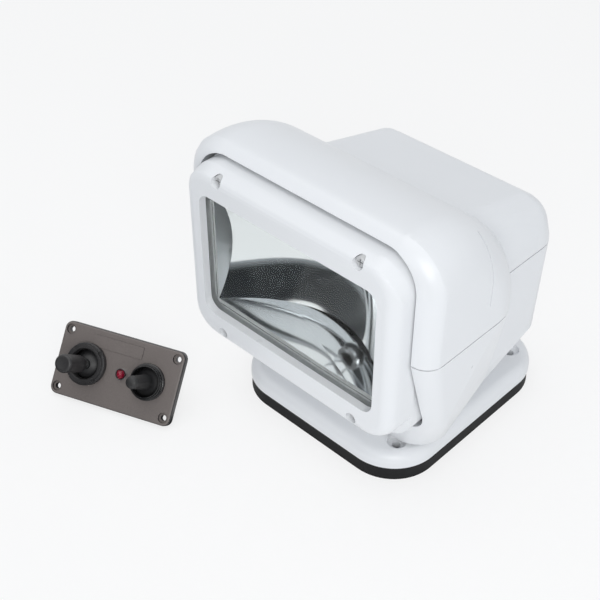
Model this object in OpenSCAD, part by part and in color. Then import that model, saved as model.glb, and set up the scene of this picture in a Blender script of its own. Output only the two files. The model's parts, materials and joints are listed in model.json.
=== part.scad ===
// Motorised marine searchlight with its wired dash control panel.
// Frame: +Z up, the lens faces -Y, the origin is the centre of the deck gasket's underside.

/* [Base] */
// Width of the base
base_w = 144; // [138:1:165]
// Depth of the base, front to rear
base_d = 155; // [148:1:175]
// Corner radius of the base outline
base_corner = 32; // [24:1:40]
// Thickness of the rubber deck gasket
gasket_t = 10; // [4:0.5:14]
// Thickness of the base plate
plate_t = 10; // [8:0.5:14]
// Rounding of the plate's upper edge
plate_round = 7; // [3:0.5:8]
// Spacing of the deck screws across
bolt_x = 108; // [100:1:112]
// Spacing of the deck screws front to rear
bolt_y = 116; // [108:1:120]
// Diameter of the deck screw holes
bolt_hole_d = 5.5; // [4:0.1:6.5]
// Diameter of the recess for a deck screw's head
bolt_recess_d = 12; // [9:0.5:13]
// Depth of the recess for a deck screw's head
bolt_recess = 3; // [1:0.5:5]

/* [Pan drive] */
// Outer diameter of the hollow pan spindle
spindle_d = 28; // [24:1:30]
// Bore of the spindle, where the wiring comes up
cable_way_d = 16; // [10:1:18]
// Gap between the base plate and the turret
turret_gap = 2; // [1.6:0.1:4]
// Length of the pan bush
bush_l = 18; // [14:1:20]
// Wall of the pan bush
bush_wall = 3; // [2:0.5:4]
// Face width of the pan gears
pan_face = 7; // [5:0.5:8]
// Teeth on the fixed pan gear
pan_teeth = 40; // [36:4:44]
// Teeth on the pan pinion
pan_pinion_teeth = 12; // [12:1:14]
// Diameter of the pan motor
pan_motor_d = 26; // [22:1:28]
// Length of the pan motor
pan_motor_l = 28; // [24:1:29]
// Height of the pan gearbox
pan_gearbox_h = 22; // [16:1:26]

/* [Tilt drive] */
// Teeth in a full circle of the tilt sector
tilt_teeth = 88; // [85:1:88]
// Teeth on the tilt pinion
tilt_pinion_teeth = 16; // [14:1:18]
// Face width of the tilt sector
sector_face = 10; // [7:0.5:10]
// Lowest tilt, below level
tilt_down = 45; // [20:1:45]
// Highest tilt, above level
tilt_up = 90; // [40:1:90]
// Diameter of the tilt motor
tilt_motor_d = 24; // [20:1:26]
// Length of the tilt motor
tilt_motor_l = 24; // [18:1:26]
// Width of the tilt gearbox along the shaft
tilt_gearbox_w = 24; // [18:1:26]
// Diameter of the trunnion pins
trunnion_d = 8; // [6:0.5:9]

/* [Shell] */
// Width of the shell across the hood
shell_w = 186; // [180:1:190]
// Outer radius of the hood about the tilt axis
hood_r = 74; // [73:0.5:78]
// Corner radius of the hood's rounded ends
hood_corner = 29; // [26:1:34]
// Wall of the mouldings
shell_wall = 3; // [2:0.25:3.5]
// Distance of the tilt axis in front of the pan axis
tilt_reach = 70; // [70:0.5:74]
// Height of the tilt axis and the shell's joint line
tilt_z = 118; // [116:0.5:124]
// Reach of the hood's lip in front of the tilt axis
lip_reach = 16.5; // [12:0.5:20]
// Rounding of the hood's lip
lip_round = 12; // [8:0.5:13]
// Gap at the joint line, filled by the shell seal
seam = 0.8; // [0.6:0.1:1.2]
// Width of the rear housing at the joint line
rear_w = 142; // [136:1:148]
// Reach of the rear housing behind the pan axis
rear_reach = 65.5; // [63:0.5:70]
// Corner radius of the rear housing
rear_corner = 16; // [12:1:20]
// Width of the roof over the rear housing
roof_w = 124; // [116:1:130]
// Height of the roof at its rear edge
roof_rear_z = 150; // [147:0.5:156]
// Height of the roof where it runs under the hood
roof_front_z = 169; // [164:0.5:174]
// Rounding of the roof's edges
roof_round = 12; // [8:0.5:14]
// Rounding of the rear housing's upper corners
rear_crown = 21; // [18:0.5:24]
// Width of each pod beside the lamp head
pod_w = 13.25; // [13:0.25:16]
// Inset of the pods' waist on each side
waist_in = 4; // [2:0.5:6]
// Height of the pods' waist
waist_z = 64; // [60:1:72]
// Width of the turret's skirt under the hood
skirt_w = 146; // [140:1:150]
// Width of the turret's skirt level with the pan axis
skirt_mid_w = 132; // [126:1:138]
// Width of the turret's skirt at the rear
skirt_rear_w = 110; // [104:1:120]
// Reach of the skirt in front of the pan axis
skirt_front = 58; // [56:1:62]
// Reach of the skirt behind the pan axis
skirt_rear = 49; // [46:1:52]
// Corner radius of the skirt
skirt_corner = 20; // [16:1:22]
// Height of the belly under the rear housing
belly_z = 45; // [41:1:50]

/* [Lamp head] */
// Radius of the lamp head about the tilt axis
lamp_r = 68; // [67:0.25:68]
// Corner radius of the lamp head
lamp_corner = 20; // [16:1:22]
// Reach of the lamp head's face in front of the tilt axis
face_reach = 30; // [28:0.5:32]
// Reach of the face above the tilt axis
face_top = 65; // [63:0.5:65]
// Reach of the face below the tilt axis
face_low = 57; // [56:0.5:62]
// Rounding of the face's outer edge
face_round = 8; // [5:0.5:10]
// Running gap round the lamp head
swing_gap = 1.5; // [1:0.1:2]
// Width of the bezel on each side of the lens window
bezel_side = 13; // [12:0.5:16]
// Height of the lens window
window_h = 85; // [78:1:86]
// Corner radius of the lens window
window_corner = 8; // [5:0.5:10]
// Height of the window's centre above the tilt axis
window_rise = 5; // [3:0.5:6]
// Depth of the lens behind the face
lens_set = 5; // [4:0.5:7]
// Thickness of the lens
lens_t = 4; // [3:0.25:5]
// Lap of the lens behind the bezel
lens_lap = 4; // [3:0.25:4.5]
// Thickness of the lens seal
seal_t = 1.5; // [1:0.25:2]
// Focal length of the reflector
focus = 29.5; // [27:0.5:33]
// Wall of the reflector
bowl_wall = 1.2; // [0.8:0.1:1.5]
// Diameter of the bulb's glass
bulb_d = 10; // [8:0.5:12]

/* [Control panel] */
// Width of the panel plate
panel_w = 88; // [84:1:96]
// Height of the panel plate
panel_h = 49; // [46:1:56]
// Thickness of the panel plate
panel_t = 5; // [4:0.5:6]
// Corner radius of the panel plate
panel_corner = 5; // [3:0.5:7]
// Spacing of the panel's screws across
panel_bolt_x = 78; // [76:1:79]
// Spacing of the panel's screws up the plate
panel_bolt_y = 38.5; // [36:0.5:39.5]
// Diameter of the panel's screw holes
panel_hole_d = 3.8; // [3:0.1:4.2]
// Lean of the panel from the upright
panel_lean = 41; // [38:1:46]
// Turn of the panel towards the viewer's left
panel_turn = 21.5; // [15:0.5:28]
// Distance of the joystick left of the panel's centre
joystick_x = 21.7; // [20:0.1:23]
// Distance of the toggle switch right of the panel's centre
toggle_x = 23; // [21:0.1:25]
// Distance of the indicator lamp right of the panel's centre
led_x = 4; // [3:0.1:5]
// Outer diameter of the joystick's collar
collar_d = 28; // [27.6:0.2:30]
// Swing of the joystick to each side
joystick_swing = 16; // [10:1:16]
// Length of the joystick in front of the plate
joystick_l = 33; // [28:0.5:40]
// Diameter of the joystick's knob
knob_d = 12; // [10:0.5:13]
// Outer diameter of the toggle's boot ring
toggle_ring_d = 24; // [23.6:0.2:26]
// Length of the toggle in front of the plate
toggle_l = 26; // [22:0.5:30]
// Swing of the toggle to each side
toggle_swing = 12; // [8:1:12]

/* [Hidden] */
$fn = 64;

// Colours as the eye sees them
white_moulding = [0.93, 0.94, 0.95];
black_rubber = [0.08, 0.08, 0.09];
dark_plate = [0.34, 0.32, 0.31];
steel = [0.72, 0.73, 0.75];
brass = [0.78, 0.64, 0.32];
nylon = [0.86, 0.84, 0.78];

// Clearances
running = 0.05;
apart = 0.3;
seat = 0.4;
big = 400;
leaf = 0.1;

// Levels of the base and the pan drive
plate_z = gasket_t + plate_t;
floor_z = plate_z + turret_gap;
floor_top = floor_z + shell_wall;
spindle_r = spindle_d / 2;
bush_r = spindle_r + running + bush_wall;
bush_top = floor_z + bush_l;
pan_gear_z = bush_top + apart;
nut_t = 5;
nut_lap = 6;
spindle_top = pan_gear_z + pan_face + nut_t;
flange_t = turret_gap - 0.5;
bracket_t = 2.4;
bracket_z = pan_gear_z + pan_face + 1;
gearbox_z = bracket_z + bracket_t;
boss_wall = 4;

// Gear proportions
gear_module = 1.5;
pressure = 25;
addendum = 0.9 * gear_module;
dedendum = 1.25 * gear_module;
backlash = 0.2;
pan_gear_r = pan_teeth * gear_module / 2;
pan_drive_y = pan_gear_r + pan_pinion_teeth * gear_module / 2;
shaft_r = 3;

// Widths that follow the shell
lamp_w = shell_w - 2 * pod_w;
window_w = lamp_w - 2 * bezel_side;
waist_w = shell_w - 2 * waist_in;

// Levels in front of the tilt axis, counted forwards
tilt_y = -tilt_reach;
lens_front = face_reach - lens_set;
lens_back = lens_front - lens_t;
rim_front = lens_back - seal_t;
rim_t = 1.5;
spigot_front = rim_front - rim_t;
bezel_back = 10;
front_wall = 3;
spigot_wall = 2.5;
lens_w = window_w + 2 * lens_lap;
lens_h = window_h + 2 * lens_lap;
lens_corner = window_corner + lens_lap / 2;
window_z = tilt_z + window_rise;
housing_r = lamp_r - 1.2;
housing_w = lamp_w - 1.6;
housing_wall = 2.5;
side_gap = 1;
cavity_r = lamp_r + swing_gap;
cavity_w = lamp_w + 2 * side_gap;
cradle_wall = 2.5;
cradle_top = tilt_z - 24;

// Bezel screws, by their place on the lamp head's face
bezel_screw_in = 27.5;
bezel_screw_x = lamp_w / 2 - bezel_screw_in;
bezel_screw_top = 60;
bezel_screw_low = 49;
bezel_screw_r = 1.5;
bezel_head_r = 3.2;
bezel_head_t = 2.4;
head_set = 5.5;
bezel_bite = 8;
bezel_post_r = 4;
bezel_post_l = bezel_bite + 2;

// Reflector and bulb along the lens axis
bowl_vertex = -focus;
bowl_mouth_r = sqrt(4 * focus * (spigot_front - bowl_vertex));
bowl_w = window_w - 3;
bowl_h = window_h - 6;
neck_r = 8;
neck_wall = 2.5;
neck_l = 6;
bulb_stem = 3;
bulb_past_focus = 6;
bulb_flange_t = 2;
socket_l = 12;
socket_r = 9;
clip_r = 0.8;

// Tilt drive
sector_r = tilt_teeth * gear_module / 2;
sector_rim = 4.6;
sector_bore = sector_r - dedendum - sector_rim;
sector_rib = 2.5;
rib_w = sector_face + 6;
groove_w = sector_face + 1;
tilt_pinion_face = sector_face - 1;
tilt_drive_y = tilt_y + sector_r + tilt_pinion_teeth * gear_module / 2;
sector_margin = 6;
groove_margin = 20;
tilt_gearbox_x = tilt_pinion_face / 2 + 4;
tilt_gearbox_front = -tilt_reach + cavity_r + 1.8;
pinion_room = 1.5;
tilt_gearbox_d = 30;
tilt_gearbox_h = 30;
tilt_bracket_t = 3;
tilt_bracket_z = tilt_z - tilt_gearbox_h / 2 - tilt_bracket_t;
trunnion_r = trunnion_d / 2;
trunnion_bush_wall = 3;
trunnion_bush_r = trunnion_r + running + trunnion_bush_wall;
trunnion_bush_l = 6.5;
trunnion_boss_r = trunnion_bush_r + 3.5;
trunnion_in = 11;
trunnion_post = 4;
side_pocket_r = 24;

// Shell forms
lip_ease = 0.3;
waist_slope = 0.29;
waist_taper = 8;
belly_round = 7;
belly_draft = 3;
belly_tuck = 10;
wall_rise = 4;
wall_draft = 0.3;
crown_rise = 9;
roof_set = 9;
rear_front = tilt_y + hood_r / 2;

// Shell screws: two beside the lamp head, two in the rear corners
screw_tower_r = 6;
screw_head_r = 3.8;
screw_r = 1.9;
screw_seat = 14;
screw_bite = 14;
screw_head_t = 3;
side_screw = [shell_w / 2 - 9.5, tilt_y + hood_r - 16];
rear_screw = [rear_w / 2 - rear_corner + 2, rear_reach - rear_corner];

// Circuit board under the roof
board_rise = 20;
board_z = tilt_z + board_rise;
board_t = 1.6;
board_w = 100;
board_d = 28;
board_behind = 14;
board_y = [rear_reach - board_behind - board_d, rear_reach - board_behind];
board_boss_r = 3.5;
board_inset = 5;
board_screw_r = 1.2;
board_screw_bite = 5;
board_head_r = 2.4;
board_head_t = 1.5;
board_part_d = 10;

// Control panel
panel_place = [-108.5, -154];
panel_mid = panel_h / 2;
collar_r = collar_d / 2;
collar_t = 5;
joystick_pivot = panel_t + 4;
boot_r = joystick_pivot + 3;
boot_wall = 1;
boot_edge = 64;
joystick_bore_r = boot_r + seat;
joystick_body_r = joystick_bore_r + 1.4;
joystick_body_l = (panel_mid - joystick_body_r) / tan(panel_lean);
stick_r = 2.4;
joystick_lean = acos(cos(joystick_swing) * cos(joystick_swing));
collar_room = 1.4;
collar_hole_r = (joystick_pivot + collar_t) * tan(joystick_lean) + stick_r + collar_room;
knob_lift = 5.5;
pin_r = 1.1;
ring_bore_r = 5;
ring_r = 7.6;
ring_t = 3;
toggle_pivot = panel_t + 2;
toggle_boot_r = toggle_pivot + 4.6;
toggle_ring_r = toggle_ring_d / 2;
toggle_bore_r = toggle_boot_r - 0.2;
toggle_ring_t = 6;
toggle_neck_r = 5.2;
toggle_room = 1.7;
toggle_hole_r = (toggle_pivot + toggle_ring_t) * tan(toggle_swing) + toggle_neck_r + toggle_room;
toggle_box = [18, 22, 14];
led_r = 3;

// Small shared shapes

// Rectangle with round corners, centred
module rounded_rect(w, d, r) {
    square([w, d - 2 * r], center = true);
    square([w - 2 * r, d], center = true);
    for (x = [-1, 1], y = [-1, 1])
        translate([x * (w / 2 - r), y * (d / 2 - r)]) circle(r);
}

// Rectangle from y0 to y1 whose front and rear corners have their own radii
module plan_rect(w, y0, y1, r0, r1) {
    translate([-w / 2, y0 + r0]) square([w, y1 - y0 - r0 - r1]);
    translate([-w / 2 + r0, y0]) square([w - 2 * r0, r0 + leaf]);
    translate([-w / 2 + r1, y1 - r1 - leaf]) square([w - 2 * r1, r1 + leaf]);
    for (x = [-1, 1]) {
        translate([x * (w / 2 - r0), y0 + r0]) circle(r0);
        translate([x * (w / 2 - r1), y1 - r1]) circle(r1);
    }
}

// Solid of revolution about the tilt axis, with rounded ends
module tilt_drum(r, w, corner) {
    translate([0, tilt_y, tilt_z]) rotate([0, 90, 0]) rotate_extrude($fn = 96) {
        translate([0, -w / 2]) square([r - corner, w]);
        translate([0, -w / 2 + corner]) square([r, w - 2 * corner]);
        for (y = [-1, 1])
            translate([r - corner, y * (w / 2 - corner)]) circle(corner);
    }
}

// Cylinder along X about the tilt axis, from x0 to x1
module tilt_rod(r, x0, x1) {
    translate([x0, tilt_y, tilt_z]) rotate([0, 90, 0]) cylinder(r = r, h = x1 - x0);
}

// Outline drawn on the lamp head's face and carried from one depth to another
module face_slab(from, to, z) {
    translate([0, tilt_y - from, z]) rotate([90, 0, 0]) linear_extrude(to - from) children();
}

// Solid of revolution about the lens axis: the profile holds radius and forward depth
module on_lens_axis() {
    translate([0, tilt_y, window_z]) rotate([90, 0, 0]) rotate_extrude() children();
}

// Half space above or below a level
module above(z) {
    translate([-big / 2, -big / 2, z]) cube(big);
}
module below(z) {
    translate([-big / 2, -big / 2, z - big]) cube(big);
}

// Half space behind a depth in front of the tilt axis
module behind(reach) {
    translate([-big / 2, tilt_y - reach, tilt_z - big / 2]) cube(big);
}

// Involute spur gear
function inv_deg(a) = tan(a) * 180 / PI - a;
function flank(r, teeth) = let (pitch_r = teeth * gear_module / 2, base_r = pitch_r * cos(pressure))
    90 / teeth - backlash / 4 / pitch_r * 180 / PI
    + inv_deg(pressure) - inv_deg(acos(min(1, base_r / r)));
function polar(r, a) = [r * cos(a), r * sin(a)];
function tooth_points(teeth, at) = let (
        pitch_r = teeth * gear_module / 2,
        root = pitch_r - dedendum,
        tip = pitch_r + addendum,
        start = max(root, pitch_r * cos(pressure)),
        radii = [for (i = [0:4]) start + (tip - start) * i / 4])
    concat(
        [polar(root, at - flank(start, teeth))],
        [for (r = radii) polar(r, at - flank(r, teeth))],
        [for (i = [4:-1:0]) polar(radii[i], at + flank(radii[i], teeth))],
        [polar(root, at + flank(start, teeth))]);
function gear_points(teeth, first, last) =
    [for (i = [first:last]) each tooth_points(teeth, i * 360 / teeth)];
module spur_gear(teeth, face, bore_r) {
    linear_extrude(face) difference() {
        polygon(gear_points(teeth, 0, teeth - 1));
        circle(bore_r);
    }
}

// Base

module deck_screw_places() {
    for (x = [-1, 1], y = [-1, 1])
        translate([x * bolt_x / 2, y * bolt_y / 2]) children();
}

module base_gasket() {
    color(black_rubber) difference() {
        linear_extrude(gasket_t) rounded_rect(base_w, base_d, base_corner);
        deck_screw_places() translate([0, 0, -1]) cylinder(d = bolt_hole_d, h = gasket_t + 2);
        translate([0, 0, -1]) cylinder(d = cable_way_d, h = gasket_t + 2);
    }
}

module base_plate() {
    color(white_moulding) difference() {
        hull() {
            translate([0, 0, gasket_t]) linear_extrude(leaf) plate_outline(0);
            for (a = [0:15:90])
                translate([0, 0, plate_z - leaf - plate_round * (1 - sin(a))])
                    linear_extrude(leaf) plate_outline(plate_round * (1 - cos(a)));
        }
        deck_screw_places() {
            translate([0, 0, gasket_t - 1]) cylinder(d = bolt_hole_d, h = plate_t + 2);
            translate([0, 0, plate_z - bolt_recess]) cylinder(d = bolt_recess_d, h = plate_t);
        }
        translate([0, 0, gasket_t - 1]) cylinder(r = spindle_r, h = plate_t + 2);
    }
}
module plate_outline(inset) {
    rounded_rect(base_w - 2 * inset, base_d - 2 * inset, base_corner - inset, $fn = 48);
}

// Hollow post that the turret turns on
module pan_spindle() {
    color(steel) difference() {
        union() {
            translate([0, 0, gasket_t]) cylinder(r = spindle_r, h = spindle_top - gasket_t);
            translate([0, 0, plate_z]) cylinder(r = bush_r + boss_wall, h = flange_t);
        }
        translate([0, 0, gasket_t - 1]) cylinder(d = cable_way_d, h = spindle_top);
    }
}

module pan_ring_gear() {
    color(nylon) translate([0, 0, pan_gear_z]) rotate(90) spur_gear(pan_teeth, pan_face, spindle_r);
}

module pan_lock_nut() {
    color(brass) translate([0, 0, pan_gear_z + pan_face]) difference() {
        cylinder(r = spindle_r + nut_lap, h = nut_t);
        translate([0, 0, -1]) cylinder(r = spindle_r, h = nut_t + 2);
        for (a = [0:60:300])
            rotate(a) translate([spindle_r + nut_lap - 2, -2, -1]) cube([4, 4, nut_t + 2]);
    }
}

// Shell

// Thin level of four round corners, from its front pair to its rear pair
module level(z, pairs) {
    for (p = pairs, x = [-1, 1])
        translate([x * (p[0] / 2 - p[2]), p[1], z]) cylinder(r = p[2], h = leaf, $fn = 32);
}

// Lower moulding under the hood, drawn in by an inset
module front_block(inset) {
    waist_front = tilt_y - lip_reach + waist_slope * (tilt_z - waist_z);
    hull() {
        translate([0, 0, tilt_z - leaf]) linear_extrude(leaf) front_plan(inset);
        level(waist_z, [
            [waist_w - 2 * inset, waist_front + lip_round, lip_round - inset],
            [waist_w - waist_taper - 2 * inset, tilt_y + hood_r - hood_corner, hood_corner - inset]]);
        level(floor_z + inset, [
            [skirt_w - 2 * inset, -skirt_front + skirt_corner, skirt_corner - inset],
            [skirt_mid_w - 2 * inset, -skirt_corner, skirt_corner - inset]]);
    }
}
module front_plan(inset) {
    plan_rect(shell_w - 2 * inset, tilt_y - lip_reach + inset, tilt_y + hood_r - inset,
        lip_round - inset, hood_corner - inset, $fn = 32);
}

// Lower moulding under the rear housing, drawn in by an inset
module rear_block(inset) {
    r = rear_corner - inset;
    hull() {
        translate([0, 0, tilt_z - leaf]) linear_extrude(leaf) rear_plan(inset);
        level(belly_z + belly_round, [
            [rear_w - belly_draft - 2 * inset, rear_front + rear_corner, r],
            [rear_w - belly_draft - 2 * inset, rear_reach - belly_draft / 4 - rear_corner, r]]);
        level(belly_z + inset, [
            [rear_w - belly_tuck - 2 * inset, rear_front + rear_corner, r],
            [rear_w - belly_tuck - 2 * inset, rear_reach - belly_tuck / 3 - rear_corner, r]]);
        level(floor_z + inset, [
            [skirt_mid_w - 2 * inset, -skirt_corner, skirt_corner - inset],
            [skirt_rear_w - 2 * inset, skirt_rear - skirt_corner, skirt_corner - inset]]);
    }
}
module rear_plan(inset) {
    plan_rect(rear_w - 2 * inset, rear_front, rear_reach - inset, 1, rear_corner - inset, $fn = 32);
}

// Rear housing above the joint line, drawn in by an inset
module rear_box(inset) {
    hull() {
        translate([0, 0, tilt_z]) linear_extrude(leaf) rear_plan(inset);
        translate([0, 0, tilt_z + wall_rise]) linear_extrude(leaf) rear_plan(inset + wall_draft);
        for (x = [-1, 1]) {
            intersection() {
                translate([x * (rear_w / 2 - rear_crown), rear_reach - rear_crown, tilt_z + crown_rise])
                    sphere(rear_crown - inset, $fn = 32);
                above(tilt_z);
            }
            for (p = [[rear_front, roof_front_z], [rear_reach - roof_round - roof_set, roof_rear_z]])
                translate([x * (roof_w / 2 - roof_round), p[0], p[1] - roof_round])
                    sphere(roof_round - inset, $fn = 32);
        }
    }
}

// Rounded front that the hood's lip is trimmed to
module lip_front() {
    front = tilt_y - lip_reach;
    hull() {
        for (a = [18:18:90])
            lip_section(front + lip_round * (1 - sin(a)), leaf, lip_round * (1 - cos(a)) - lip_ease);
        lip_section(front + lip_round, rear_reach + 20 - front, -lip_ease);
    }
}
module lip_section(y, l, inset) {
    w = shell_w - 2 * inset;
    r = hood_corner - inset;
    translate([0, y + l, tilt_z]) rotate([90, 0, 0]) linear_extrude(l) {
        translate([-w / 2, 0]) square([w, leaf]);
        for (x = [-1, 1])
            translate([x * (w / 2 - r), hood_r - inset - r]) circle(r, $fn = 40);
    }
}

// Space that the lamp head swings in
module lamp_space() {
    tilt_drum(cavity_r, cavity_w, lamp_corner + 0.5);
}

// Bores for the trunnion bushes on the joint line
module bush_bores() {
    for (side = [-1, 1])
        tilt_rod(trunnion_bush_r, min(0, side * (cavity_w / 2 + trunnion_bush_l)),
            max(0, side * (cavity_w / 2 + trunnion_bush_l)));
}

// Window where the tilt pinion reaches through the hood's rear wall
module pinion_window() {
    r = tilt_pinion_teeth * gear_module / 2 + addendum + pinion_room;
    translate([-groove_w / 2 - pinion_room, tilt_drive_y - r, tilt_z - 1])
        cube([groove_w + 2 * pinion_room, r, r + 1]);
}

module shell_screw_places() {
    for (x = [-1, 1], p = [side_screw, rear_screw])
        translate([x * p[0], p[1], 0]) children();
}

module lower_shell() {
    top = tilt_z - seam / 2;
    seat_z = top - screw_seat;
    color(white_moulding) intersection() {
        difference() {
            union() {
                difference() {
                    union() {
                        front_block(0);
                        rear_block(0);
                    }
                    difference() {
                        union() {
                            front_block(shell_wall);
                            rear_block(shell_wall);
                            translate([0, 0, tilt_z - 2]) linear_extrude(4) {
                                front_plan(shell_wall);
                                rear_plan(shell_wall);
                            }
                        }
                        intersection() {
                            tilt_drum(cavity_r + cradle_wall, cavity_w + 2 * cradle_wall, lamp_corner + 3);
                            below(cradle_top);
                        }
                        tilt_rod(trunnion_boss_r, -shell_w / 2, -cavity_w / 2);
                        tilt_rod(trunnion_boss_r, cavity_w / 2, shell_w / 2);
                        shell_screw_places() cylinder(r = screw_tower_r, h = tilt_z + 4);
                        cylinder(r = bush_r + boss_wall, h = bush_top);
                    }
                }
            }
            lamp_space();
            bush_bores();
            translate([0, 0, floor_z - 1]) cylinder(r = bush_r, h = bush_l + 2);
            shell_screw_places() {
                cylinder(r = screw_r, h = tilt_z);
                cylinder(r = screw_head_r, h = seat_z);
            }
        }
        below(top);
    }
}

module upper_shell() {
    bottom = tilt_z + seam / 2;
    pod_mid = (shell_w + cavity_w) / 4;
    color(white_moulding) difference() {
        intersection() {
            union() {
                tilt_drum(hood_r, shell_w, hood_corner);
                rear_box(0);
            }
            lip_front();
            above(bottom);
        }
        lamp_space();
        difference() {
            rear_box(shell_wall);
            tilt_drum(hood_r - shell_wall, shell_w, hood_corner);
            shell_screw_places() cylinder(r = screw_tower_r, h = big);
            board_screw_places() translate([0, 0, board_z + board_t]) cylinder(r = board_boss_r, h = big);
        }
        for (side = [-1, 1])
            difference() {
                intersection() {
                    tilt_rod(side_pocket_r, side * pod_mid - 3, side * pod_mid + 3);
                    behind(-trunnion_boss_r);
                }
                tilt_rod(trunnion_boss_r, side * shell_w / 2 - 20, side * shell_w / 2 + 20);
            }
        bush_bores();
        pinion_window();
        shell_screw_places() cylinder(r = screw_r, h = bottom + screw_bite);
        board_screw_places() translate([0, 0, board_z])
            cylinder(r = board_screw_r, h = board_t + board_screw_bite + 1);
    }
}

// Thin rubber strip in the joint line
module shell_seal() {
    color(black_rubber) difference() {
        translate([0, 0, tilt_z - seam / 2]) linear_extrude(seam) difference() {
            union() {
                front_plan(seam);
                rear_plan(seam);
            }
            front_plan(shell_wall);
            rear_plan(shell_wall);
        }
        lamp_space();
        bush_bores();
        shell_screw_places() cylinder(r = screw_r, h = big);
    }
}

module shell_screws() {
    seat_z = tilt_z - seam / 2 - screw_seat;
    color(steel) shell_screw_places() {
        translate([0, 0, seat_z - screw_head_t]) cylinder(r = screw_head_r - seat, h = screw_head_t);
        translate([0, 0, seat_z]) cylinder(r = screw_r, h = screw_seat + seam + screw_bite - 2);
    }
}

// Wiper ring that closes the gap over the base plate
module turret_seal() {
    r = skirt_rear - 4;
    color(black_rubber) translate([0, 0, plate_z + seat]) difference() {
        cylinder(r = r, h = turret_gap - seat);
        translate([0, 0, -1]) cylinder(r = r - 3, h = turret_gap + 2);
    }
}

module pan_bush() {
    color(brass) translate([0, 0, floor_z]) difference() {
        cylinder(r = bush_r, h = bush_l);
        translate([0, 0, -1]) cylinder(r = spindle_r + running, h = bush_l + 2);
    }
}

// Pan drive in the turret

bracket_w = 60;
bracket_d = 30;
bracket_post_x = 24;
bracket_post_back = 3;
bracket_post_r = 4;

module pan_bracket() {
    color(steel) difference() {
        union() {
            translate([-bracket_w / 2, pan_drive_y - bracket_d / 2, bracket_z])
                cube([bracket_w, bracket_d, bracket_t]);
            for (x = [-1, 1])
                translate([x * bracket_post_x, pan_drive_y - bracket_post_back, floor_top])
                    cylinder(r = bracket_post_r, h = bracket_z - floor_top);
        }
        translate([0, pan_drive_y, bracket_z - 1]) cylinder(r = shaft_r + 1, h = bracket_t + 2);
    }
}

module pan_gearbox() {
    color(nylon) translate([0, pan_drive_y, gearbox_z]) difference() {
        linear_extrude(pan_gearbox_h) rounded_rect(pan_motor_d + 4, pan_motor_d + 2, 5);
        translate([0, 0, -1]) cylinder(r = shaft_r + running, h = 13);
    }
}

module pan_motor() {
    color(steel) translate([0, pan_drive_y, gearbox_z + pan_gearbox_h]) {
        cylinder(d = pan_motor_d, h = pan_motor_l - 3);
        cylinder(d = pan_motor_d / 2, h = pan_motor_l);
    }
}

module pan_shaft() {
    color(steel) translate([0, pan_drive_y, pan_gear_z - 1])
        cylinder(r = shaft_r, h = gearbox_z - pan_gear_z + 11);
}

module pan_pinion() {
    color(brass) translate([0, pan_drive_y, pan_gear_z]) rotate(180 / pan_pinion_teeth - 90)
        spur_gear(pan_pinion_teeth, pan_face, shaft_r);
}

// Tilt drive in the turret

tilt_post_x = 41;
tilt_post_in = 5;

module tilt_bracket() {
    color(steel) {
        translate([tilt_gearbox_x, tilt_gearbox_front, tilt_bracket_z])
            cube([tilt_gearbox_w + tilt_motor_l, tilt_gearbox_d, tilt_bracket_t]);
        for (y = [bracket_post_r + tilt_post_in, tilt_gearbox_d - bracket_post_r])
            translate([tilt_post_x, tilt_gearbox_front + y, floor_top])
                cylinder(r = bracket_post_r, h = tilt_bracket_z - floor_top);
    }
}

module tilt_gearbox() {
    color(nylon) difference() {
        translate([tilt_gearbox_x, tilt_gearbox_front, tilt_z - tilt_gearbox_h / 2])
            cube([tilt_gearbox_w, tilt_gearbox_d, tilt_gearbox_h]);
        translate([tilt_gearbox_x - 1, tilt_drive_y, tilt_z]) rotate([0, 90, 0])
            cylinder(r = shaft_r + running, h = 14);
    }
}

module tilt_motor() {
    color(steel)
        translate([tilt_gearbox_x + tilt_gearbox_w, tilt_gearbox_front + tilt_gearbox_d / 2, tilt_z])
            rotate([0, 90, 0]) {
                cylinder(d = tilt_motor_d, h = tilt_motor_l - 3);
                cylinder(d = tilt_motor_d / 2, h = tilt_motor_l);
            }
}

module tilt_shaft() {
    color(steel) translate([-tilt_pinion_face / 2 - 1, tilt_drive_y, tilt_z]) rotate([0, 90, 0])
        cylinder(r = shaft_r, h = tilt_gearbox_x + tilt_pinion_face / 2 + 12);
}

module tilt_pinion() {
    color(brass) translate([-tilt_pinion_face / 2, tilt_drive_y, tilt_z]) rotate([90, 0, 90])
        rotate(180 / tilt_pinion_teeth - 180) spur_gear(tilt_pinion_teeth, tilt_pinion_face, shaft_r);
}

// Receiver and relay board

module board_screw_places() {
    for (x = [-1, 1], y = [board_y[0] + board_inset, board_y[1] - board_inset])
        translate([x * (board_w / 2 - board_inset), y, 0]) children();
}

module circuit_board() {
    parts = [[-30, 12, 8], [-8, 14, 7], [14, 10, 5], [32, 12, 8]];
    color([0.12, 0.38, 0.2]) difference() {
        union() {
            translate([-board_w / 2, board_y[0], board_z]) cube([board_w, board_y[1] - board_y[0], board_t]);
            for (p = parts)
                translate([p[0] - p[1] / 2, (board_y[0] + board_y[1] - board_part_d) / 2, board_z - p[2] / 2])
                    cube([p[1], board_part_d, p[2] / 2]);
        }
        board_screw_places() translate([0, 0, board_z - 1]) cylinder(r = board_screw_r, h = board_t + 2);
    }
}

module board_screws() {
    color(steel) board_screw_places() {
        translate([0, 0, board_z - board_head_t]) cylinder(r = board_head_r, h = board_head_t);
        translate([0, 0, board_z]) cylinder(r = board_screw_r, h = board_t + board_screw_bite);
    }
}

// Trunnions

module trunnion_bushes() {
    color(brass) for (side = [-1, 1])
        difference() {
            tilt_rod(trunnion_bush_r, side > 0 ? cavity_w / 2 : -cavity_w / 2 - trunnion_bush_l,
                side > 0 ? cavity_w / 2 + trunnion_bush_l : -cavity_w / 2);
            tilt_rod(trunnion_r + running, -shell_w, shell_w);
        }
}

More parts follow.
